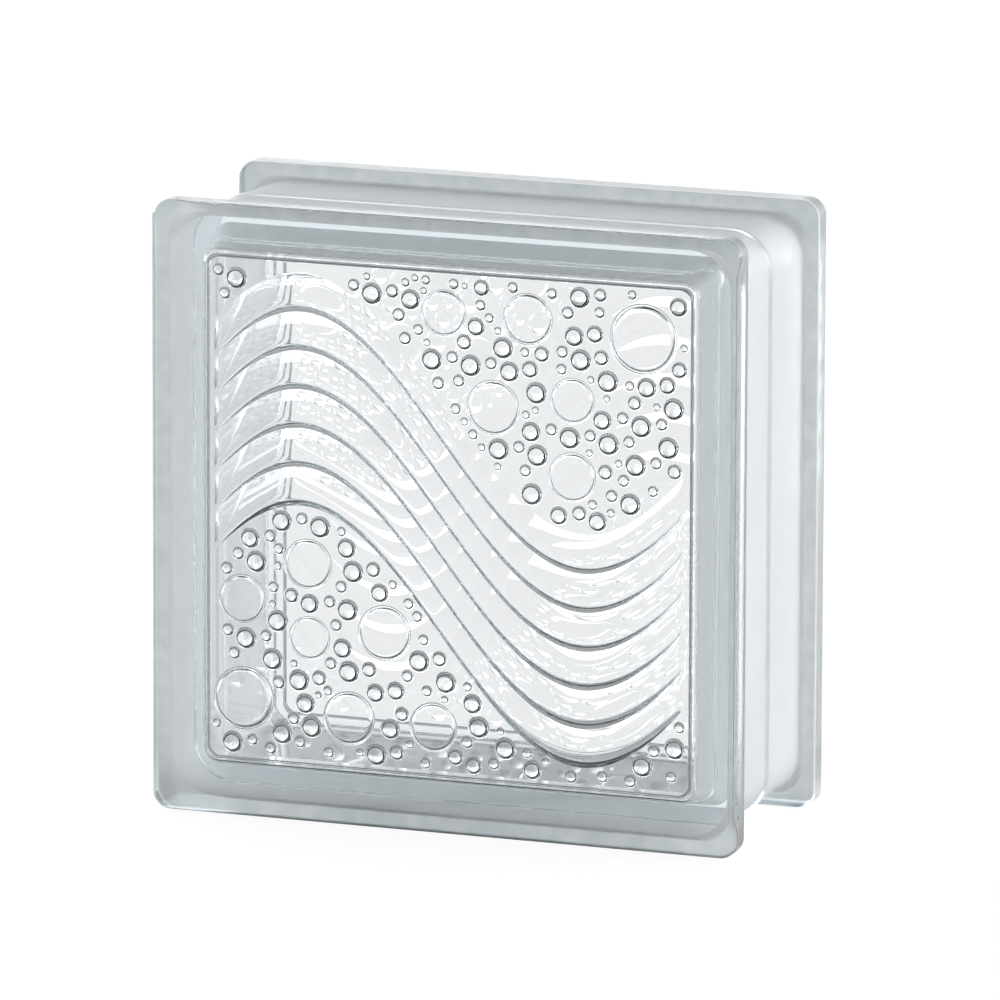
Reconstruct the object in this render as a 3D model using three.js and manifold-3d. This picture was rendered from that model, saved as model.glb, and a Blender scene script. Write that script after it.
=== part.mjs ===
// Hollow glass block: two pressed glass shells, fused rim to rim at the seam.
// Millimetres. X runs across the block, Y through its thickness and Z up. The block stands
// on its lower edge, with the middle of its footprint at the origin and its front at -Y.

import * as THREE from 'three';
import { mergeVertices } from 'three/addons/utils/BufferGeometryUtils.js';
import Module from 'manifold-3d';

// Overall size
const WIDTH = 190;
const HEIGHT = 190;
const THICKNESS = 80;

// Lip: the square flange round each outer face
const LIP_DEPTH = 8;
const LIP_CORNER = 6;
const ARRIS_RADIUS = 2;
const HEEL_RADIUS = 1;

// Channel: the recess for mortar between the two lips, with the fused bead in its middle
const CHANNEL_AT_LIP = 5;
const CHANNEL_AT_SEAM = 4.4;
const CHANNEL_FILLET = 1.2;
const CHANNEL_CORNER = 13;
const BEAD_RISE = 0.6;
const BEAD_WIDTH = 2.4;
const BEAD_SHOULDER = 0.5;

// Walls, cavity and pressed field
const FACE_THICKNESS = 8;
const WALL_AT_FACE = 9.5;
const WALL_AT_SEAM = 6;
const CAVITY_FILLET = 2.5;
const CAVITY_CORNER = 6;
const FIELD_CORNER = 3.5;
const FIELD_STEP = 0.5;

// Wave bands: hollow flutes side by side that all follow one S-shaped curve. Each has a
// steeper flank along its lower edge, which takes up the first part of its width.
const BAND_COUNT = 6;
const BAND_PITCH = 12;
const FLUTE_SLOPE = 0.4;
const FLANK_SLOPE = 1.1;
const FLANK_SHARE = 0.3;
const WAVE_HEIGHT = 37;
const WAVE_LENGTH = 183;
const WAVE_SHIFT = -2;
const WAVE_LIFT = 1.5;
const WAVE_END = 3;
const WAVE_STEPS = 24;
const FLUTE_STEPS = [0, 0.1, 0.3, 0.64];

// Bubbles fill the field on both sides of the bands: the large ones are flat pans with a
// steep rim, the small ones stand proud as caps of a ball.
const PAN_FLAT_SHARE = 0.86;
const PAN_SLOPE = 1.4;
const PAN_SIDES = 16;
const PAN_RIM_STEPS = 2;
const DOME_STEEPNESS = 0.95;
const DOME_SIDES = 6;
const DOME_STEPS = 2;
const BUBBLE_GAP = 0.9;
const SMALLEST_RADIUS = 1.9;
const LARGEST_RADIUS = 3.4;
const SMALL_TRIES = 900;

// Large bubbles: distance right of and above the middle of the face, and radius
const LARGE_BUBBLES = [
  [62.5, 62, 10.8],
  [25.5, 65.5, 8],
  [-1.5, 65.5, 7.2],
  [14.5, 37.5, 8.5],
  [40, 41.5, 7],
  [40, 18, 7.6],
  [-45.5, -15.5, 7.8],
  [-67, -28, 7.6],
  [-45, -38.5, 6.7],
  [-20.5, -35, 8.6],
  [-66.5, -59, 9.9],
  [-32, -62.5, 8.3],
  [-4.5, -63, 7.6],
];

// Facets
const CORNER_STEPS = 5;
const ROUND_STEPS = 3;
const EMBED = 1.5;

const SEAM_DEPTH = THICKNESS / 2;
const FIELD_INSET = CHANNEL_AT_LIP + WALL_AT_FACE + CAVITY_FILLET + FIELD_STEP;
const FIELD_HALF_WIDTH = WIDTH / 2 - FIELD_INSET;
const FIELD_HALF_HEIGHT = HEIGHT / 2 - FIELD_INSET;

const wasm = await Module();
wasm.setup();

// ---------------------------------------------------------------------------------------
// Geometry helpers

// A closed three.js geometry as a solid that can be joined and cut.
function solidOf(geometry) {
  const bare = geometry.clone();
  bare.deleteAttribute('normal');
  bare.deleteAttribute('uv');
  const merged = mergeVertices(bare, 1e-4);
  return new wasm.Manifold(new wasm.Mesh({
    numProp: 3,
    vertProperties: new Float32Array(merged.attributes.position.array),
    triVerts: new Uint32Array(merged.index.array),
  }));
}

function geometryOf(solid) {
  const mesh = solid.getMesh();
  const geometry = new THREE.BufferGeometry();
  geometry.setAttribute('position', new THREE.BufferAttribute(mesh.vertProperties, 3));
  geometry.setIndex(new THREE.BufferAttribute(mesh.triVerts, 1));
  geometry.computeVertexNormals();
  return geometry;
}

// Points of a quarter round, as [inset, depth], from one end angle to the other.
function quarterRound(inset, depth, radius, from, to) {
  const points = [];
  for (let step = 0; step <= ROUND_STEPS; step++) {
    const angle = from + (to - from) * step / ROUND_STEPS;
    points.push([inset + radius * Math.cos(angle), depth + radius * Math.sin(angle)]);
  }
  return points;
}

// A rectangle with round corners, counter-clockwise as the front face is looked at.
function roundedRectangle(halfWidth, halfHeight, radius) {
  const points = [];
  const corners = [[1, 1], [-1, 1], [-1, -1], [1, -1]];
  corners.forEach(([sideX, sideZ], corner) => {
    for (let step = 0; step <= CORNER_STEPS; step++) {
      const angle = (corner + step / CORNER_STEPS) * Math.PI / 2;
      points.push([
        sideX * (halfWidth - radius) + radius * Math.cos(angle),
        sideZ * (halfHeight - radius) + radius * Math.sin(angle),
      ]);
    }
  });
  return points;
}

// A closed skin through rings of { inset, depth, corner }, with a flat cap at each end.
function skinThrough(rings) {
  const positions = [];
  const index = [];
  for (const { inset, depth, corner } of rings) {
    for (const [x, z] of roundedRectangle(WIDTH / 2 - inset, HEIGHT / 2 - inset, corner)) {
      positions.push(x, depth, z);
    }
  }
  const around = positions.length / 3 / rings.length;
  for (let ring = 0; ring + 1 < rings.length; ring++) {
    for (let step = 0; step < around; step++) {
      const here = ring * around + step;
      const beside = ring * around + (step + 1) % around;
      index.push(here, here + around, beside + around, here, beside + around, beside);
    }
  }
  const last = (rings.length - 1) * around;
  for (let step = 1; step + 1 < around; step++) {
    index.push(0, step, step + 1, last, last + step + 1, last + step);
  }
  const geometry = new THREE.BufferGeometry();
  geometry.setAttribute('position', new THREE.Float32BufferAttribute(positions, 3));
  geometry.setIndex(index);
  return geometry;
}

// ---------------------------------------------------------------------------------------
// Plain shell, lying with its outer face at depth 0 and its rim at the seam

// The corner radius goes from one value to another along a run of section points.
function ringsAlong(points, cornerFrom, cornerTo) {
  return points.map(([inset, depth], step) => {
    const share = points.length > 1 ? step / (points.length - 1) : 0;
    return { inset, depth, corner: cornerFrom + (cornerTo - cornerFrom) * share };
  });
}

function lipRings() {
  const arris = quarterRound(ARRIS_RADIUS, ARRIS_RADIUS, ARRIS_RADIUS, -Math.PI / 2, -Math.PI);
  const heel = quarterRound(HEEL_RADIUS, LIP_DEPTH - HEEL_RADIUS, HEEL_RADIUS, Math.PI, Math.PI / 2);
  return [
    ...ringsAlong(arris, LIP_CORNER - ARRIS_RADIUS, LIP_CORNER),
    ...ringsAlong(heel, LIP_CORNER, LIP_CORNER - HEEL_RADIUS),
  ];
}

function channelRings() {
  const floorStart = LIP_DEPTH + CHANNEL_FILLET;
  const fillet = quarterRound(
    CHANNEL_AT_LIP - CHANNEL_FILLET, floorStart, CHANNEL_FILLET, -Math.PI / 2, 0);
  const bead = [
    [CHANNEL_AT_SEAM, SEAM_DEPTH - BEAD_WIDTH / 2 - BEAD_SHOULDER],
    [CHANNEL_AT_SEAM - BEAD_RISE, SEAM_DEPTH - BEAD_WIDTH / 2],
    [CHANNEL_AT_SEAM - BEAD_RISE, SEAM_DEPTH],
  ];
  return [
    ...ringsAlong(fillet, LIP_CORNER, CHANNEL_CORNER),
    ...ringsAlong(bead, CHANNEL_CORNER, CHANNEL_CORNER + BEAD_RISE),
  ];
}

function cavityRings() {
  const wallFoot = CHANNEL_AT_LIP + WALL_AT_FACE;
  const filletDepth = FACE_THICKNESS + FIELD_STEP + CAVITY_FILLET;
  const fillet = quarterRound(
    wallFoot + CAVITY_FILLET, filletDepth, CAVITY_FILLET, -Math.PI, -Math.PI / 2);
  return [
    { inset: CHANNEL_AT_SEAM + WALL_AT_SEAM, depth: SEAM_DEPTH, corner: CAVITY_CORNER },
    ...ringsAlong(fillet, CAVITY_CORNER, FIELD_CORNER),
    { inset: FIELD_INSET, depth: FACE_THICKNESS, corner: FIELD_CORNER },
  ];
}

function plainShell() {
  return solidOf(skinThrough([...lipRings(), ...channelRings(), ...cavityRings()]));
}

// ---------------------------------------------------------------------------------------
// Pressed pattern on the inside of the face

// Height of the middle line of the bands above the middle of the face.
function waveAt(x) {
  return WAVE_LIFT - WAVE_HEIGHT * Math.sin(2 * Math.PI * (x - WAVE_SHIFT) / WAVE_LENGTH);
}

function waveSlope(x) {
  const turns = 2 * Math.PI / WAVE_LENGTH;
  return -WAVE_HEIGHT * turns * Math.cos(turns * (x - WAVE_SHIFT));
}

// How far a point lies outside the bands, square to their outer curves.
function clearOfBands(x, z) {
  const offset = Math.abs(z - waveAt(x)) - BAND_COUNT * BAND_PITCH / 2;
  return offset / Math.hypot(1, waveSlope(x));
}

// Depth of a flute, as a share of its width, at a share of the way up from its lower edge.
// Its slope is that of a shallow arc, plus on the flank one that falls off as (1 - f^2)^2,
// which adds up to 8/15 at the end of the flank.
function fluteDepth(share) {
  const f = Math.min(share / FLANK_SHARE, 1);
  const flank = f - 2 / 3 * f ** 3 + 1 / 5 * f ** 5 - 8 / 15 * share;
  return FLUTE_SLOPE * share * (1 - share) + FLANK_SLOPE * FLANK_SHARE * flank;
}

// What the flutes take out of the face: they are shallower where the wave squeezes them,
// and run out at both ends.
function fluteCutter() {
  const end = FIELD_HALF_WIDTH;
  const columns = [-end];
  for (let step = 0; step <= WAVE_STEPS; step++) {
    columns.push((2 * step / WAVE_STEPS - 1) * (end - WAVE_END));
  }
  columns.push(end);

  const rows = [];
  for (let band = 0; band < BAND_COUNT; band++) {
    for (const share of FLUTE_STEPS) {
      rows.push({ rise: (band + share - BAND_COUNT / 2) * BAND_PITCH, depth: fluteDepth(share) });
    }
  }
  rows.push({ rise: BAND_COUNT / 2 * BAND_PITCH, depth: 0 });

  const positions = [];
  for (const x of columns) {
    const width = Math.abs(x) < end ? BAND_PITCH / (1 + waveSlope(x) ** 2) : 0;
    for (const { rise, depth } of rows) {
      positions.push(x, FACE_THICKNESS - depth * width, waveAt(x) + rise);
    }
    positions.push(x, FACE_THICKNESS + EMBED, waveAt(x) + rows.at(-1).rise);
    positions.push(x, FACE_THICKNESS + EMBED, waveAt(x) + rows[0].rise);
  }

  const around = rows.length + 2;
  const last = (columns.length - 1) * around;
  const index = [];
  for (let column = 0; column < last; column += around) {
    for (let step = 0; step < around; step++) {
      const here = column + step;
      const beside = column + (step + 1) % around;
      index.push(here, here + around, beside + around, here, beside + around, beside);
    }
  }
  const upperCorner = around - 2;
  for (let step = 0; step + 1 < rows.length; step++) {
    index.push(upperCorner, step, step + 1, last + upperCorner, last + step + 1, last + step);
  }
  const lowerCorner = around - 1;
  index.push(lowerCorner, 0, upperCorner, last + lowerCorner, last + upperCorner, last);
  const geometry = new THREE.BufferGeometry();
  geometry.setAttribute('position', new THREE.Float32BufferAttribute(positions, 3));
  geometry.setIndex(index);
  return solidOf(geometry);
}

// Small bubbles fall on an even spread of points, each as large as there is room for.
function smallBubbles() {
  const spreadX = 0.7548776662;
  const spreadZ = 0.5698402910;
  const bubbles = [...LARGE_BUBBLES];
  for (let attempt = 1; attempt <= SMALL_TRIES; attempt++) {
    const x = (2 * ((attempt * spreadX) % 1) - 1) * FIELD_HALF_WIDTH;
    const z = (2 * ((attempt * spreadZ) % 1) - 1) * FIELD_HALF_HEIGHT;
    const room = Math.min(
      clearOfBands(x, z), FIELD_HALF_WIDTH - Math.abs(x), FIELD_HALF_HEIGHT - Math.abs(z),
      ...bubbles.map(([nearX, nearZ, radius]) => Math.hypot(x - nearX, z - nearZ) - radius));
    if (room > SMALLEST_RADIUS + BUBBLE_GAP) {
      bubbles.push([x, z, Math.min(room - BUBBLE_GAP, LARGEST_RADIUS)]);
    }
  }
  return bubbles.slice(LARGE_BUBBLES.length);
}

// A round solid on the face from its outline, as [radius, height above the face] pairs.
function roundOnFace([x, z], outline, sides) {
  const profile = outline.map(([radius, height]) => new THREE.Vector2(radius, height));
  const geometry = new THREE.LatheGeometry(profile, sides);
  geometry.translate(x, FACE_THICKNESS, z);
  return solidOf(geometry);
}

function bubbleDome([x, z, radius]) {
  const ball = radius / DOME_STEEPNESS;
  const rimAngle = Math.asin(DOME_STEEPNESS);
  const outline = [[0, -EMBED], [radius, -EMBED]];
  for (let step = 0; step < DOME_STEPS; step++) {
    const angle = rimAngle * (1 - step / DOME_STEPS);
    outline.push([ball * Math.sin(angle), ball * (Math.cos(angle) - Math.cos(rimAngle))]);
  }
  outline.push([0, ball * (1 - Math.cos(rimAngle))]);
  return roundOnFace([x, z], outline, DOME_SIDES);
}

function panCutter([x, z, radius]) {
  const rimWidth = radius * (1 - PAN_FLAT_SHARE);
  const depth = PAN_SLOPE * rimWidth / 2;
  const outline = [[0, -depth], [radius - rimWidth, -depth]];
  for (let step = 1; step <= PAN_RIM_STEPS; step++) {
    const share = step / PAN_RIM_STEPS;
    outline.push([radius - rimWidth * (1 - share), depth * (share ** 2 - 1)]);
  }
  outline.push([radius, EMBED], [0, EMBED]);
  return roundOnFace([x, z], outline, PAN_SIDES);
}

function pressedShell() {
  const domes = wasm.Manifold.union(smallBubbles().map(bubbleDome));
  const hollows = wasm.Manifold.union([fluteCutter(), ...LARGE_BUBBLES.map(panCutter)]);
  return plainShell().subtract(hollows).add(domes);
}

// ---------------------------------------------------------------------------------------
// Assembly: the two shells are one pressing, the second turned half round about Z

const glass = new THREE.MeshStandardMaterial({
  name: 'clear_glass', color: 0xe6efed, roughness: 0.04, metalness: 0,
});

const shellGeometry = geometryOf(pressedShell());

const frontShell = new THREE.Mesh(shellGeometry, glass);
frontShell.name = 'front_shell';
frontShell.position.set(0, -SEAM_DEPTH, HEIGHT / 2);

const backShell = new THREE.Mesh(shellGeometry, glass);
backShell.name = 'back_shell';
backShell.rotation.z = Math.PI;
backShell.position.set(0, SEAM_DEPTH, HEIGHT / 2);

const glassBlock = new THREE.Group();
glassBlock.add(frontShell, backShell);

export default glassBlock;
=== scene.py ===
"""Hollow glass block: two pressed shells fused round a sealed hollow, on a pale studio floor."""

import math

import bmesh
import bpy
from mathutils import Matrix, Vector


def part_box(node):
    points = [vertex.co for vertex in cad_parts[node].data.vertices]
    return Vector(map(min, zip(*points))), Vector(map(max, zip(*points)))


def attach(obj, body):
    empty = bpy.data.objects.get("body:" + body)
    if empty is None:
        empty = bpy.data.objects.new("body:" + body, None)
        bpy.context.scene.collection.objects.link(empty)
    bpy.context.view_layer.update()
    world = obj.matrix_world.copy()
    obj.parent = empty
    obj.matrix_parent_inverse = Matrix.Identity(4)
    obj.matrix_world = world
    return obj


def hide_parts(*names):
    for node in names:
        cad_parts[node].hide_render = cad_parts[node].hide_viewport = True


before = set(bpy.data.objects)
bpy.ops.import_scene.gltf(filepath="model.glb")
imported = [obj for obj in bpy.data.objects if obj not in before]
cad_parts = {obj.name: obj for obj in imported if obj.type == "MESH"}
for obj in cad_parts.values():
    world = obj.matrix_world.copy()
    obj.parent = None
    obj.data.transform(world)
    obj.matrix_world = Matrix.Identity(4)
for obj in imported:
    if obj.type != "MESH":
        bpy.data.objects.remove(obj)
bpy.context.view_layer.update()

MM = 0.001

# ---------------------------------------------------------------------------------------
# Sizes. The overall ones come from the frame, the section's are the part's own.

SHELL_LOW, SHELL_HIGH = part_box("front_shell")
WIDTH = SHELL_HIGH.x - SHELL_LOW.x
HEIGHT = SHELL_HIGH.z - SHELL_LOW.z
MIDDLE_HEIGHT = (SHELL_LOW.z + SHELL_HIGH.z) / 2
SEAM_DEPTH = SHELL_HIGH.y - SHELL_LOW.y

LIP_DEPTH = 8 * MM
LIP_CORNER = 6 * MM
ARRIS_RADIUS = 2 * MM
HEEL_RADIUS = 1 * MM

CHANNEL_AT_LIP = 5 * MM
CHANNEL_AT_SEAM = 4.4 * MM
CHANNEL_FILLET = 1.2 * MM
CHANNEL_CORNER = 13 * MM
SEAM_BEAD_RISE = 0.6 * MM
SEAM_BEAD_HALF_WIDTH = 1.5 * MM

FACE_THICKNESS = 8 * MM
WALL_AT_FACE = 9.5 * MM
WALL_AT_SEAM = 6 * MM
CAVITY_FILLET = 2.5 * MM
CAVITY_CORNER = 6 * MM
FIELD_CORNER = 3.5 * MM
FIELD_STEP = 0.5 * MM
FIELD_BEAD = 0.8 * MM
FIELD_MARGIN = 0.2 * MM
FIELD_INSET = CHANNEL_AT_LIP + WALL_AT_FACE + CAVITY_FILLET + FIELD_STEP
FIELD_HALF_WIDTH = WIDTH / 2 - FIELD_INSET
FIELD_HALF_HEIGHT = HEIGHT / 2 - FIELD_INSET

BAND_COUNT = 6
BAND_PITCH = 12 * MM
FLUTE_SLOPE = 0.4
FLANK_SLOPE = 1.1
FLANK_SHARE = 0.3
WAVE_HEIGHT = 37 * MM
WAVE_LENGTH = 183 * MM
WAVE_SHIFT = -2 * MM
WAVE_LIFT = 1.5 * MM

BUBBLE_GAP = 0.9 * MM
SMALLEST = 1.9 * MM
LARGEST = 3.4 * MM
SMALL_TRIES = 900
SEED_GAP = 0.7 * MM
SMALLEST_SEED = 1.1 * MM
LARGEST_SEED = 1.8 * MM
SEED_TRIES = 2400
DOME_STEEPNESS = 0.95
PAN_FLAT_SHARE = 0.86
PAN_SLOPE = 1.4
PAN_BEAD_SHARE = 0.06
PAN_BEAD_SLOPE = 4.2

# Large pans: right of and above the middle of the face, and radius, in millimetres.
LARGE_BUBBLES = [
    (62.5, 62, 10.8),
    (25.5, 65.5, 8),
    (-1.5, 65.5, 7.2),
    (14.5, 37.5, 8.5),
    (40, 41.5, 7),
    (40, 18, 7.6),
    (-45.5, -15.5, 7.8),
    (-67, -28, 7.6),
    (-45, -38.5, 6.7),
    (-20.5, -35, 8.6),
    (-66.5, -59, 9.9),
    (-32, -62.5, 8.3),
    (-4.5, -63, 7.6),
]

CORNER_STEPS = 12
ROUND_STEPS = 6
GUARD = 0.35 * MM
PATCH_MARGIN = 0.25 * MM
BAND_END_STEP = 0.6 * MM
BAND_END_GAP = 3 * MM
ROW_CROWDING = 0.8

# Steps that spread points evenly over a square, whatever their number.
SPREAD_X = 0.7548776662
SPREAD_Z = 0.5698402910

# ---------------------------------------------------------------------------------------
# Finish. The coating is a share of cover, from bare glass to white.

GLASS_IOR = 1.52
DEPTH_COLOUR = (0.70, 0.88, 0.96, 1)
DEPTH_DENSITY = 6.0
FROST_ROUGHNESS = 0.35
LIP_TONE = (0.34, 0.42, 0.45, 1)
LEAST_TONE = 0.4
# Painted shade: dark grey on the bead round the field, standing in for the dark edge of a sharper
# rim.
PAINTED_BEAD_SHADE = (0.22, 0.25, 0.27, 1)
MOTTLE_SCALE = 160
CLOUD_SCALE = 60

COATING_WHITE = (0.95, 0.95, 0.95, 1)
COATING_ROUGHNESS = 0.7
COATING_LETS_THROUGH = 0.3
THINNEST_COATING = 0.8
LIP_COATING = 0.4
SEAM_COATING = 0.2

# ---------------------------------------------------------------------------------------
# Studio

FLOOR_REACH = 30
FLOOR_GAP = 0.2 * MM
FLOOR_GREY = (0.2, 0.2, 0.2, 1)
FLOOR_ROUGHNESS = 0.9
FLOOR_TO_CAMERA = 0.9
FLOOR_THROUGH_GLASS = 0.8
FLOOR_IN_FRONT = 0.3
FADE_BEHIND_FACE = 100 * MM

SIDEWAYS, BACKWARDS = 0.94, 0.34
FROM_RIGHT, FROM_LEFT, FROM_BEHIND = 9.5, 10.5, 0.6
LIGHT_COLOUR = (0.97, 0.985, 1)

SEEN_BY = ("Is Camera Ray", "Is Glossy Ray", "Is Transmission Ray")


# ---------------------------------------------------------------------------------------
# Node trees

class Socket:
    """An output socket that takes Python's arithmetic, which adds the Math nodes."""

    def __init__(self, tree, socket):
        self.tree = tree
        self.socket = socket

    def maths(self, operation, first, *others):
        return self.tree.add("ShaderNodeMath", {"operation": operation}, [first, *others])

    def __add__(self, other):
        return self.maths("ADD", self, other)

    def __radd__(self, other):
        return self.maths("ADD", other, self)

    def __sub__(self, other):
        return self.maths("SUBTRACT", self, other)

    def __rsub__(self, other):
        return self.maths("SUBTRACT", other, self)

    def __mul__(self, other):
        return self.maths("MULTIPLY", self, other)

    def __rmul__(self, other):
        return self.maths("MULTIPLY", other, self)

    def __truediv__(self, other):
        return self.maths("DIVIDE", self, other)

    def __rtruediv__(self, other):
        return self.maths("DIVIDE", other, self)

    def __pow__(self, other):
        return self.maths("POWER", self, other)

    def least(self, other):
        return self.maths("MINIMUM", self, other)

    def most(self, other):
        return self.maths("MAXIMUM", self, other)

    def call(self, operation):
        return self.maths(operation, self)


class Tree:
    """A node tree, with one method that adds any node."""

    def __init__(self, tree):
        self.tree = tree

    def add(self, kind, settings=None, inputs=None, output=0):
        """Settings come first, then a value, a link or a list of links for each socket."""
        node = self.tree.nodes.new(kind)
        for name, value in (settings or {}).items():
            setattr(node, name, value)
        pairs = inputs.items() if isinstance(inputs, dict) else enumerate(inputs or [])
        for key, value in pairs:
            if isinstance(value, Socket):
                self.tree.links.new(value.socket, node.inputs[key])
            elif isinstance(value, list):
                for link in value:
                    self.tree.links.new(link.socket, node.inputs[key])
            else:
                node.inputs[key].default_value = value
        return Socket(self, node.outputs[output]) if node.outputs else None

    def join(self, *geometries):
        return self.add("GeometryNodeJoinGeometry", None, {"Geometry": list(geometries)})

    def vector(self, x, y, z):
        return self.add("ShaderNodeCombineXYZ", None, [x, y, z])

    def split(self, vector):
        node = self.add("ShaderNodeSeparateXYZ", None, [vector]).socket.node
        return [Socket(self, output) for output in node.outputs]

    def position(self):
        return self.split(self.add("GeometryNodeInputPosition"))

    def attribute(self, name, data_type="FLOAT"):
        return self.add("GeometryNodeInputNamedAttribute", {"data_type": data_type}, {"Name": name})

    def store(self, geometry, name, value, data_type="FLOAT"):
        return self.add(
            "GeometryNodeStoreNamedAttribute", {"data_type": data_type, "domain": "POINT"},
            {"Geometry": geometry, "Name": name, "Value": value})


# ---------------------------------------------------------------------------------------
# Section of the glass, as rings of (inset, depth, corner radius) from the outer face inwards

def quarter_round(inset, depth, radius, start, end):
    points = []
    for step in range(ROUND_STEPS + 1):
        angle = math.radians(start + (end - start) * step / ROUND_STEPS)
        points.append((inset + radius * math.cos(angle), depth + radius * math.sin(angle)))
    return points


def rings_along(points, corner_start, corner_end):
    last = len(points) - 1
    return [
        (inset, depth, corner_start + (corner_end - corner_start) * step / last)
        for step, (inset, depth) in enumerate(points)
    ]


def with_guards(rings):
    """Adds a ring close to each end of a long flat run, so that smooth shading keeps it flat."""
    guarded = [rings[0]]
    for start, end in zip(rings, rings[1:]):
        run = math.hypot(end[0] - start[0], end[1] - start[1])
        if run > 5 * GUARD:
            for share in (GUARD / run, 1 - GUARD / run):
                guarded.append(tuple(a + (b - a) * share for a, b in zip(start, end)))
        guarded.append(end)
    return guarded


def outer_rings():
    arris = quarter_round(ARRIS_RADIUS, ARRIS_RADIUS, ARRIS_RADIUS, -90, -180)
    heel = quarter_round(HEEL_RADIUS, LIP_DEPTH - HEEL_RADIUS, HEEL_RADIUS, 180, 90)
    fillet = quarter_round(
        CHANNEL_AT_LIP - CHANNEL_FILLET, LIP_DEPTH + CHANNEL_FILLET, CHANNEL_FILLET, -90, 0)
    bead = []
    for step in range(ROUND_STEPS + 1):
        angle = math.pi / 2 * step / ROUND_STEPS
        away = SEAM_BEAD_HALF_WIDTH * math.cos(angle)
        rise = SEAM_BEAD_RISE * math.sin(angle) ** 2
        bead.append((CHANNEL_AT_SEAM - rise, SEAM_DEPTH - away))
    face = (ARRIS_RADIUS + GUARD, 0, LIP_CORNER - ARRIS_RADIUS - GUARD)
    return with_guards([
        face,
        *rings_along(arris, LIP_CORNER - ARRIS_RADIUS, LIP_CORNER),
        *rings_along(heel, LIP_CORNER, LIP_CORNER - HEEL_RADIUS),
        *rings_along(fillet, LIP_CORNER, CHANNEL_CORNER),
        *rings_along(bead, CHANNEL_CORNER, CHANNEL_CORNER + SEAM_BEAD_RISE),
    ])


def cavity_rings():
    wall_foot = CHANNEL_AT_LIP + WALL_AT_FACE
    fillet = quarter_round(
        wall_foot + CAVITY_FILLET, FACE_THICKNESS + FIELD_STEP + CAVITY_FILLET, CAVITY_FILLET,
        -180, -105)
    foot, height = fillet[-1]
    bead = []
    for step in range(1, 2 * ROUND_STEPS + 1):
        share = step / (2 * ROUND_STEPS)
        bead.append((
            foot + (FIELD_INSET - FIELD_MARGIN - foot) * share,
            height + (FACE_THICKNESS - height) * share + 4 * FIELD_BEAD * share * (1 - share)))
    return with_guards([
        (CHANNEL_AT_SEAM + WALL_AT_SEAM, SEAM_DEPTH, CAVITY_CORNER),
        *rings_along(fillet, CAVITY_CORNER, FIELD_CORNER),
        *rings_along(bead, FIELD_CORNER, FIELD_CORNER),
        (FIELD_INSET, FACE_THICKNESS, FIELD_CORNER),
    ])


def rounded_rectangle(half_width, half_height, radius):
    """Corner points with a guard point on each straight side, counter-clockwise from +X."""
    points = []
    for corner, (side_x, side_z) in enumerate([(1, 1), (-1, 1), (-1, -1), (1, -1)]):
        centre = Vector((side_x * (half_width - radius), side_z * (half_height - radius)))
        for step in range(CORNER_STEPS + 1):
            angle = math.pi / 2 * (corner + step / CORNER_STEPS)
            around = Vector((math.cos(angle), math.sin(angle)))
            along = Vector((-around.y, around.x))
            if step == 0:
                points.append(centre + radius * around - 2 * GUARD * along)
            points.append(centre + radius * around)
            if step == CORNER_STEPS:
                points.append(centre + radius * around + 2 * GUARD * along)
    return points


def skin_through(mesh, rings):
    """Adds a skin through the rings to the bmesh and returns its loops of vertices."""
    loops = []
    for inset, depth, corner in rings:
        outline = rounded_rectangle(WIDTH / 2 - inset, HEIGHT / 2 - inset, corner)
        loops.append([
            mesh.verts.new((x, depth - SEAM_DEPTH, MIDDLE_HEIGHT + z)) for x, z in outline])
    for near, far in zip(loops, loops[1:]):
        for step in range(len(near)):
            beside = (step + 1) % len(near)
            mesh.faces.new((near[step], far[step], far[beside], near[beside]))
    return loops


def mark_finish(mesh):
    """Marks how far each face of the outside is frosted and coated, from the lip to the seam."""
    frosted = mesh.faces.layers.float.new("frosted")
    coated = mesh.faces.layers.float.new("coated")
    for face in mesh.faces:
        depths = [corner.co.y + SEAM_DEPTH for corner in face.verts]
        face[frosted] = min(depths) > ARRIS_RADIUS - GUARD
        if min(depths) > SEAM_DEPTH - SEAM_BEAD_HALF_WIDTH - GUARD:
            face[coated] = SEAM_COATING
        elif max(depths) > LIP_DEPTH + GUARD:
            face[coated] = 1
        elif min(depths) > LIP_DEPTH - GUARD:
            face[coated] = LIP_COATING


def paint_shade_on_bead(mesh, loops):
    """Marks the faces of the bead round the field, between the loops, that get a painted shade."""
    shaded = mesh.faces.layers.float.new("shaded")
    bead = {corner for loop in loops for corner in loop}
    for face in mesh.faces:
        face[shaded] = all(corner in bead for corner in face.verts)


# ---------------------------------------------------------------------------------------
# Pressed face, made flat in X and Y with its relief along Z, by Geometry Nodes

def wave_at(x):
    return WAVE_LIFT - WAVE_HEIGHT * math.sin(2 * math.pi * (x - WAVE_SHIFT) / WAVE_LENGTH)


def wave_slope(x):
    turns = 2 * math.pi / WAVE_LENGTH
    return -WAVE_HEIGHT * turns * math.cos(turns * (x - WAVE_SHIFT))


def clear_of_bands(x, z):
    """Distance from a point to the nearest band, less than nothing inside one."""
    return (abs(z - wave_at(x)) - BAND_COUNT * BAND_PITCH / 2) / math.hypot(1, wave_slope(x))


def fill_with_bubbles(bubbles, tries, smallest, largest, gap):
    """Adds bubbles where they find room, each as large as fits, and returns the new ones."""
    already = len(bubbles)
    for attempt in tries:
        x = (2 * (attempt * SPREAD_X % 1) - 1) * FIELD_HALF_WIDTH
        z = (2 * (attempt * SPREAD_Z % 1) - 1) * FIELD_HALF_HEIGHT
        room = min(
            clear_of_bands(x, z), FIELD_HALF_WIDTH - abs(x), FIELD_HALF_HEIGHT - abs(z),
            *(math.hypot(x - near_x, z - near_z) - near_radius
              for near_x, near_z, near_radius in bubbles))
        if room > smallest + gap:
            bubbles.append((x, z, min(room - gap, largest)))
    return bubbles[already:]


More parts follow.
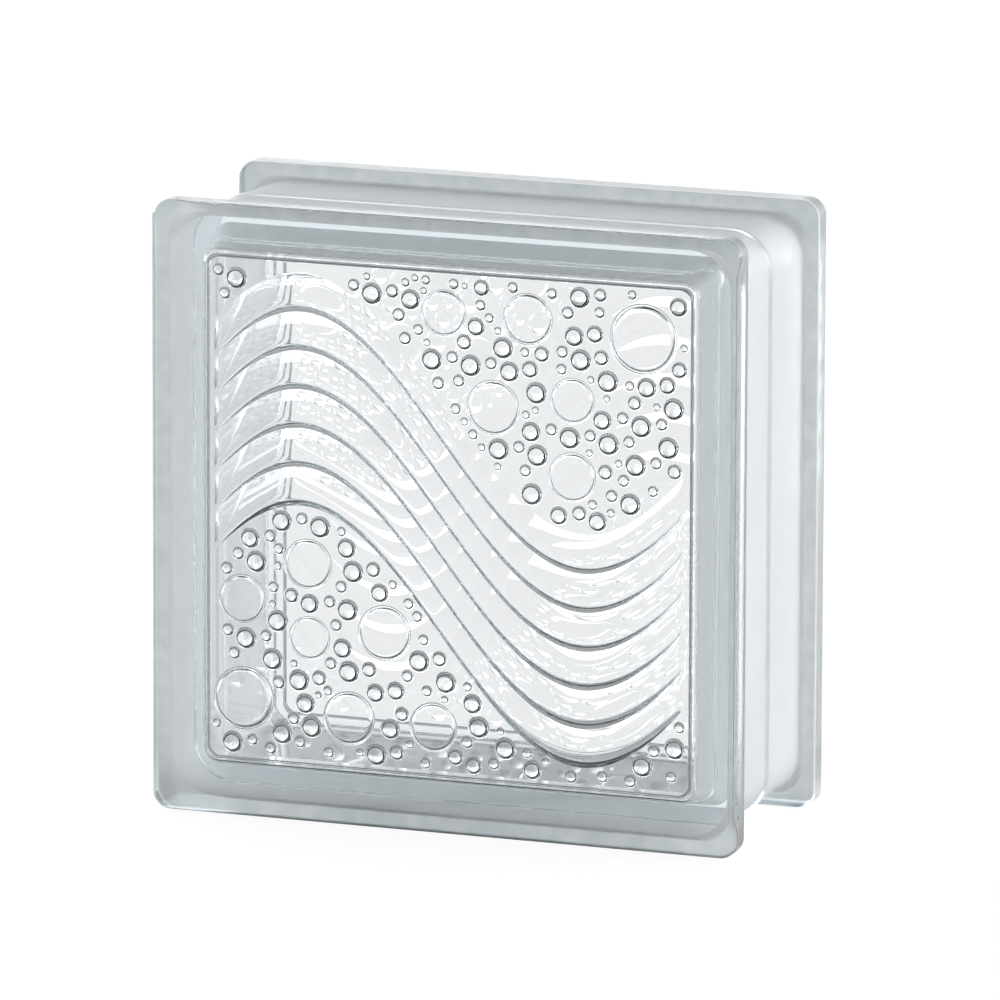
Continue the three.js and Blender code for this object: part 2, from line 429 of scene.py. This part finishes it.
def pattern_layout():
    """Mesh with the edge loop of the field's border and one loose point for each bubble."""
    mesh = bpy.data.meshes.new("pattern_layout")
    border = rounded_rectangle(FIELD_HALF_WIDTH, FIELD_HALF_HEIGHT, FIELD_CORNER)
    large = [(x * MM, z * MM, radius * MM) for x, z, radius in LARGE_BUBBLES]
    bubbles = list(large)
    small = fill_with_bubbles(
        bubbles, range(1, SMALL_TRIES + 1), SMALLEST, LARGEST, BUBBLE_GAP)
    seeds = fill_with_bubbles(
        bubbles, range(SMALL_TRIES + 1, SEED_TRIES + 1), SMALLEST_SEED, LARGEST_SEED, SEED_GAP)
    points = [(x, z, 0) for x, z in border] + [(x, z, 0) for x, z, radius in bubbles]
    loop = [(step, (step + 1) % len(border)) for step in range(len(border))]
    mesh.from_pydata(points, loop, [])
    counts = {"border": len(border), "large": len(large), "small": len(small), "seed": len(seeds)}
    kinds = [kind for kind, count in counts.items() for _ in range(count)]
    values = {kind: [each == kind for each in kinds] for kind in ("large", "small", "seed")}
    values["radius"] = [0] * len(border) + [radius for x, z, radius in bubbles]
    for name, numbers in values.items():
        mesh.attributes.new(name, "FLOAT", "POINT").data.foreach_set("value", numbers)
    return mesh


def dome(reach, size):
    """Height over the radius of a small bubble, which stands proud as a cap of a ball."""
    ball = 1 / (size["Dome steepness"] ** 2)
    return (ball - reach ** 2).call("SQRT") - (ball - 1).call("SQRT")


def pan(reach, size):
    """Height over the radius of a large bubble, a flat pan with a steep rim that carries a bead."""
    flat, bead_share = size["Pan flat share"], size["Pan bead share"]
    rim = ((reach - flat) / (1 - flat)).most(0)
    dish = (rim * rim - 1) * (1 - flat) * size["Pan slope"] * 0.5
    across_bead = (reach - 1) / bead_share + 1
    bead = (1 - across_bead * across_bead).most(0) * bead_share * size["Pan bead slope"] * 0.5
    return dish + bead


def bubble_patches(tree, layout, kind, profile, sides, rings, size):
    """Round patches on the points of one kind, each with a narrow flat margin round it."""
    flat = tree.add(
        "GeometryNodeMeshGrid", None,
        {"Size X": 1, "Size Y": 1, "Vertices X": rings + 2, "Vertices Y": sides + 1})
    across, around, _ = tree.position()
    ring = ((across + 0.5) * (rings + 1)).call("ROUND")
    angle = (around + 0.5) * (2 * math.pi)
    reach = (ring.least(rings) * (math.pi / 2 / rings)).call("SINE")
    beyond = (ring - rings).most(0)
    cosine, sine = angle.call("COSINE"), angle.call("SINE")
    patch = tree.store(flat, "reach", reach)
    patch = tree.store(patch, "beyond", beyond)
    patch = tree.store(patch, "way", tree.vector(cosine, sine, 0), "FLOAT_VECTOR")
    spread = reach + beyond
    patch = tree.add("GeometryNodeSetPosition", None, {
        "Geometry": patch, "Position": tree.vector(cosine * spread, sine * spread, 0)})
    patch = tree.add("GeometryNodeMergeByDistance", None, {"Geometry": patch, "Distance": 1e-5})
    centred = tree.store(
        layout, "centre", tree.add("GeometryNodeInputPosition"), "FLOAT_VECTOR")
    placed = tree.add("GeometryNodeInstanceOnPoints", None, {
        "Points": centred, "Selection": tree.attribute(kind), "Instance": patch})
    real = tree.add("GeometryNodeRealizeInstances", None, {"Geometry": placed})
    reach, radius = tree.attribute("reach"), tree.attribute("radius")
    outwards = radius * reach + size["Margin"] * tree.attribute("beyond")
    way_x, way_y, _ = tree.split(tree.attribute("way", "FLOAT_VECTOR"))
    centre_x, centre_y, _ = tree.split(tree.attribute("centre", "FLOAT_VECTOR"))
    place = tree.vector(
        centre_x + way_x * outwards, centre_y + way_y * outwards,
        radius * profile(reach, size))
    return tree.add("GeometryNodeSetPosition", None, {"Geometry": real, "Position": place})


def flute(share, size):
    """Depth over the width of a band: a hollow with a steeper flank along its lower edge.

    The flank's slope dies away as (1 - t ** 2) ** 2, which adds up to 8 / 15.
    """
    into_flank = (share / size["Flank share"]).least(1)
    flank = into_flank - into_flank ** 3 * (2 / 3) + into_flank ** 5 * (1 / 5)
    flank = (flank - share * (8 / 15)) * size["Flank share"] * size["Flank slope"]
    return flank + share * (1 - share) * size["Flute slope"]


def wave_bands(tree, size, columns, rows, end_columns):
    """Grid of flutes that follow the wave, shallower where the wave squeezes them."""
    count_x = columns + 2 * end_columns
    count_y = BAND_COUNT * rows + 2
    flat = tree.add(
        "GeometryNodeMeshGrid", None,
        {"Size X": 1, "Size Y": 1, "Vertices X": count_x + 1, "Vertices Y": count_y + 1})
    across, up, _ = tree.position()
    column = ((across + 0.5) * count_x).call("ROUND") - end_columns
    inner = column.most(0).least(columns)
    past_end = column - inner
    x = (inner / columns - 0.5) * size["Band length"] + past_end * size["End step"]
    fade = (1 - (past_end.call("ABSOLUTE") / (end_columns - 1))).most(0)
    row = ((up + 0.5) * count_y).call("ROUND") - 1
    inside = row.most(0).least(BAND_COUNT * rows)
    band = ((inside + 0.5) / rows).call("FLOOR").least(BAND_COUNT)
    even = inside / rows - band
    share = even - (even * (2 * math.pi)).call("SINE") * (ROW_CROWDING / 2 / math.pi)
    offset = ((band + share) - BAND_COUNT / 2) * size["Band pitch"]
    offset = offset + (row - inside) * size["Margin"]
    turn = (x - size["Wave shift"]) * (2 * math.pi) / size["Wave length"]
    swing = size["Wave lift"] - turn.call("SINE") * size["Wave height"]
    slope = turn.call("COSINE") * size["Wave height"] * (2 * math.pi) / size["Wave length"]
    squeeze = 1 / (1 + slope * slope)
    relief = -1 * flute(share, size) * size["Band pitch"] * squeeze * fade
    return tree.add("GeometryNodeSetPosition", None, {
        "Geometry": flat, "Position": tree.vector(x, offset + swing, relief)})


def plain_ground(tree, border, patches):
    """Flat ground between the border and the outlines of the patches."""
    lone = tree.add("GeometryNodeInputMeshEdgeNeighbors")
    rim = tree.add("FunctionNodeCompare", {"data_type": "INT", "operation": "EQUAL"},
                   {2: lone, 3: 1})
    outlines = tree.add("GeometryNodeMeshToCurve", None, {"Mesh": patches, "Selection": rim})
    edging = tree.add("GeometryNodeMeshToCurve", None, {"Mesh": border})
    return tree.add("GeometryNodeFillCurve", None, {"Curve": tree.join(outlines, edging)})


def pressed_face(glass):
    """The inner surface of one face, with its bands, bubbles and pans."""
    group = bpy.data.node_groups.new("pressed_face", "GeometryNodeTree")
    group.interface.new_socket("Geometry", in_out="INPUT", socket_type="NodeSocketGeometry")
    group.interface.new_socket("Geometry", in_out="OUTPUT", socket_type="NodeSocketGeometry")
    sizes = {
        "Band length": 2 * (FIELD_HALF_WIDTH - BAND_END_GAP),
        "End step": BAND_END_STEP,
        "Band pitch": BAND_PITCH,
        "Flute slope": FLUTE_SLOPE,
        "Flank slope": FLANK_SLOPE,
        "Flank share": FLANK_SHARE,
        "Wave height": WAVE_HEIGHT,
        "Wave length": WAVE_LENGTH,
        "Wave shift": WAVE_SHIFT,
        "Wave lift": WAVE_LIFT,
        "Dome steepness": DOME_STEEPNESS,
        "Pan flat share": PAN_FLAT_SHARE,
        "Pan slope": PAN_SLOPE,
        "Pan bead share": PAN_BEAD_SHARE,
        "Pan bead slope": PAN_BEAD_SLOPE,
        "Margin": PATCH_MARGIN,
    }
    for name in sizes:
        group.interface.new_socket(name, in_out="INPUT", socket_type="NodeSocketFloat")
    tree = Tree(group)
    given = group.nodes.new("NodeGroupInput")
    size = {name: Socket(tree, given.outputs[name]) for name in sizes}
    layout = Socket(tree, given.outputs["Geometry"])
    patches = tree.join(
        bubble_patches(tree, layout, "large", pan, 40, 16, size),
        bubble_patches(tree, layout, "small", dome, 18, 5, size),
        bubble_patches(tree, layout, "seed", dome, 12, 4, size),
        wave_bands(tree, size, 130, 20, 4))
    whole = tree.join(patches, plain_ground(tree, layout, patches))
    whole = tree.add("GeometryNodeMergeByDistance", None, {"Geometry": whole, "Distance": 2e-6})
    whole = tree.add("GeometryNodeRealizeInstances", None, {"Geometry": whole})
    whole = tree.add("GeometryNodeSetMaterial", None, {"Geometry": whole, "Material": glass})
    out = group.nodes.new("NodeGroupOutput")
    group.links.new(whole.socket, out.inputs["Geometry"])

    host = bpy.data.objects.new("pressed_face", pattern_layout())
    bpy.context.scene.collection.objects.link(host)
    modifier = host.modifiers.new("Pressed face", "NODES")
    modifier.node_group = group
    for item in group.interface.items_tree:
        if item.name in sizes:
            modifier[item.identifier] = sizes[item.name]
    depsgraph = bpy.context.evaluated_depsgraph_get()
    mesh = bpy.data.meshes.new_from_object(host.evaluated_get(depsgraph))
    bpy.data.objects.remove(host)
    return mesh


# ---------------------------------------------------------------------------------------
# The block: one fused body of glass with a hollow in it

def half_block(glass):
    """Mesh of the glass from the front face to the seam, open along the seam."""
    mesh = bmesh.new()
    outside = skin_through(mesh, outer_rings())
    mesh.faces.new(outside[0])
    mark_finish(mesh)
    hollow = skin_through(mesh, cavity_rings())
    # The bead round the field is marked for its painted shade.
    paint_shade_on_bead(mesh, hollow[-2 * ROUND_STEPS - 2:-1])
    face = pressed_face(glass)
    lie_in_block = Matrix((
        (1, 0, 0, 0),
        (0, 0, 1, FACE_THICKNESS - SEAM_DEPTH),
        (0, 1, 0, MIDDLE_HEIGHT),
        (0, 0, 0, 1)))
    face.transform(lie_in_block)
    face.flip_normals()
    mesh.from_mesh(face)
    bpy.data.meshes.remove(face)
    return mesh


def glass_block(glass):
    """Both halves joined along the seam, the back one turned round about the upright axis."""
    block = half_block(glass)
    half = bpy.data.meshes.new("half")
    block.to_mesh(half)
    half.transform(Matrix.Rotation(math.pi, 4, "Z"))
    block.from_mesh(half)
    bpy.data.meshes.remove(half)
    bmesh.ops.remove_doubles(block, verts=block.verts, dist=3e-6)
    for face in block.faces:
        face.smooth = True
    mesh = bpy.data.meshes.new("glass_block")
    block.to_mesh(mesh)
    block.free()
    mesh.materials.append(glass)
    piece = bpy.data.objects.new("glass_block", mesh)
    bpy.context.scene.collection.objects.link(piece)
    return piece


# ---------------------------------------------------------------------------------------
# Materials

def new_material(name):
    material = bpy.data.materials.new(name)
    material.use_nodes = True
    material.node_tree.nodes.clear()
    return material, Tree(material.node_tree)


def pressed_glass():
    """Clear glass, frosted round its edge and under a white coating in the channel.

    The coating is cloudy, lets some light through and is thinner inside the lips and on the
    seam. The glass turns faintly blue with depth. The bead round the field carries a painted
    shade, a dark grey that stands in for the dark edge a sharper rim would show.
    """
    material, tree = new_material("pressed_glass")
    frosted = tree.add("ShaderNodeAttribute", {"attribute_name": "frosted"}, None, "Fac")
    coated = tree.add("ShaderNodeAttribute", {"attribute_name": "coated"}, None, "Fac")
    shaded = tree.add("ShaderNodeAttribute", {"attribute_name": "shaded"}, None, "Fac")
    place = tree.add("ShaderNodeTexCoord", None, None, "Object")
    mottle = tree.add(
        "ShaderNodeTexNoise", None, {"Vector": place, "Scale": MOTTLE_SCALE, "Detail": 4})
    tone = tree.add("ShaderNodeMix", {"data_type": "RGBA"}, {
        "Factor": (coated / LIP_COATING).least(1) * (LEAST_TONE + mottle),
        "A": (1, 1, 1, 1), "B": LIP_TONE}, "Result")
    # Painted shade: the bead round the field is darkened towards dark grey.
    tone = tree.add("ShaderNodeMix", {"data_type": "RGBA"}, {
        "Factor": shaded, "A": tone, "B": PAINTED_BEAD_SHADE}, "Result")
    glass = tree.add("ShaderNodeBsdfPrincipled", None, {
        "Base Color": tone, "Roughness": frosted * FROST_ROUGHNESS, "IOR": GLASS_IOR,
        "Transmission Weight": 1})
    paint = tree.add("ShaderNodeBsdfPrincipled", None, {
        "Base Color": COATING_WHITE, "Roughness": COATING_ROUGHNESS})
    through = tree.add("ShaderNodeBsdfTranslucent", None, {"Color": COATING_WHITE})
    coat = tree.add("ShaderNodeMixShader", None, [COATING_LETS_THROUGH, paint, through])
    cloud = tree.add(
        "ShaderNodeTexNoise", None, {"Vector": place, "Scale": CLOUD_SCALE, "Detail": 2})
    cover = coated * (THINNEST_COATING + cloud * (1 - THINNEST_COATING))
    surface = tree.add("ShaderNodeMixShader", None, [cover, glass, coat])
    depth = tree.add("ShaderNodeVolumeAbsorption", None, {
        "Color": DEPTH_COLOUR, "Density": DEPTH_DENSITY})
    tree.add("ShaderNodeOutputMaterial", None, {"Surface": surface, "Volume": depth})
    return material


def seen_share(tree):
    """1 for the rays that show the background, and 0 for those that light the block."""
    seen = None
    for name in SEEN_BY:
        ray = tree.add("ShaderNodeLightPath", None, None, name)
        seen = ray if seen is None else seen.most(ray)
    return seen


def studio_floor():
    """White to the camera, pale grey behind the block as seen through its glass.

    Through the glass it is darker in front of the block and dark under its lips. The light
    that falls on it leaves the block's soft shadow.
    """
    material, tree = new_material("studio_floor")
    x, y, _ = tree.split(tree.add("ShaderNodeTexCoord", None, None, "Object"))
    past_side = x.call("ABSOLUTE") - (WIDTH / 2 - MM)
    past_face = y.call("ABSOLUTE") - (SEAM_DEPTH - MM)
    open_floor = (past_side.most(past_face) / MM).most(0).least(1)
    in_channel = ((SEAM_DEPTH - LIP_DEPTH - MM - y.call("ABSOLUTE")) / MM).most(0).least(1)
    behind_face = ((y + SEAM_DEPTH) / FADE_BEHIND_FACE).most(0).least(1)
    around = FLOOR_IN_FRONT + behind_face * (1 - FLOOR_IN_FRONT)
    camera_ray = tree.add("ShaderNodeLightPath", None, None, "Is Camera Ray")
    through_glass = open_floor * around * FLOOR_THROUGH_GLASS + (1 - open_floor) * in_channel
    shown = (camera_ray * FLOOR_TO_CAMERA).most(seen_share(tree) * through_glass)
    surface = tree.add("ShaderNodeBsdfPrincipled", None, {
        "Base Color": FLOOR_GREY, "Roughness": FLOOR_ROUGHNESS, "Specular IOR Level": 0,
        "Emission Color": tree.vector(shown, shown, shown), "Emission Strength": 1.0})
    tree.add("ShaderNodeOutputMaterial", None, {"Surface": surface})
    return material


# ---------------------------------------------------------------------------------------
# Studio

def floor():
    corners = [(-1, -1), (1, -1), (1, 1), (-1, 1)]
    mesh = bpy.data.meshes.new("floor")
    mesh.from_pydata(
        [(FLOOR_REACH * x, FLOOR_REACH * y, -FLOOR_GAP) for x, y in corners], [], [(0, 1, 2, 3)])
    mesh.materials.append(studio_floor())
    piece = bpy.data.objects.new("floor", mesh)
    bpy.context.scene.collection.objects.link(piece)


def studio_world():
    """Soft light from both sides and from behind, with little from the front."""
    world = bpy.data.worlds.new("studio")
    bpy.context.scene.world = world
    world.use_nodes = True
    world.node_tree.nodes.clear()
    tree = Tree(world.node_tree)
    right, behind, above = tree.split(tree.add("ShaderNodeTexCoord"))
    low = 1 - above.most(0)
    from_right = (behind * BACKWARDS + right * SIDEWAYS).most(0) ** 4 * low
    from_left = (behind * BACKWARDS - right * SIDEWAYS).most(0) ** 4 * low
    from_behind = behind.most(0) ** 4
    strength = from_right * FROM_RIGHT + from_left * FROM_LEFT + from_behind * FROM_BEHIND
    colour = tree.add(
        "ShaderNodeVectorMath", {"operation": "SCALE"}, {0: LIGHT_COLOUR, "Scale": strength})
    light = tree.add("ShaderNodeBackground", None, {"Color": colour, "Strength": 1.0})
    tree.add("ShaderNodeOutputWorld", None, {"Surface": light})


def camera():
    """A long lens from the front right and a little above, aimed at the middle of the block."""
    azimuth, elevation, roll = map(math.radians, (20.58, 11.94, 0.185))
    distance, lens_over_sensor = 3.747, 12.274
    back = Vector((
        math.sin(azimuth) * math.cos(elevation),
        -math.cos(azimuth) * math.cos(elevation),
        math.sin(elevation)))
    lens = bpy.data.cameras.new("camera")
    lens.lens = lens.sensor_width * lens_over_sensor
    lens.shift_x = 0.0115
    lens.shift_y = 0.0033
    holder = bpy.data.objects.new("camera", lens)
    centre = Vector((0, 0, MIDDLE_HEIGHT))
    turn = (-back).to_track_quat("-Z", "Y").to_matrix()
    holder.rotation_euler = (turn @ Matrix.Rotation(roll, 3, "Z")).to_euler()
    holder.location = centre + distance * back
    bpy.context.scene.collection.objects.link(holder)
    bpy.context.scene.camera = holder


def let_light_through(cycles):
    """Enough bounces for light that is caught between the faces of the glass."""
    cycles.max_bounces = 32
    cycles.glossy_bounces = 16
    cycles.transmission_bounces = 24
    cycles.diffuse_bounces = 6


camera()
block = glass_block(pressed_glass())
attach(block, "root")
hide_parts("front_shell", "back_shell")
floor()
studio_world()
bpy.context.scene.view_settings.view_transform = "Standard"
let_light_through(bpy.context.scene.cycles)
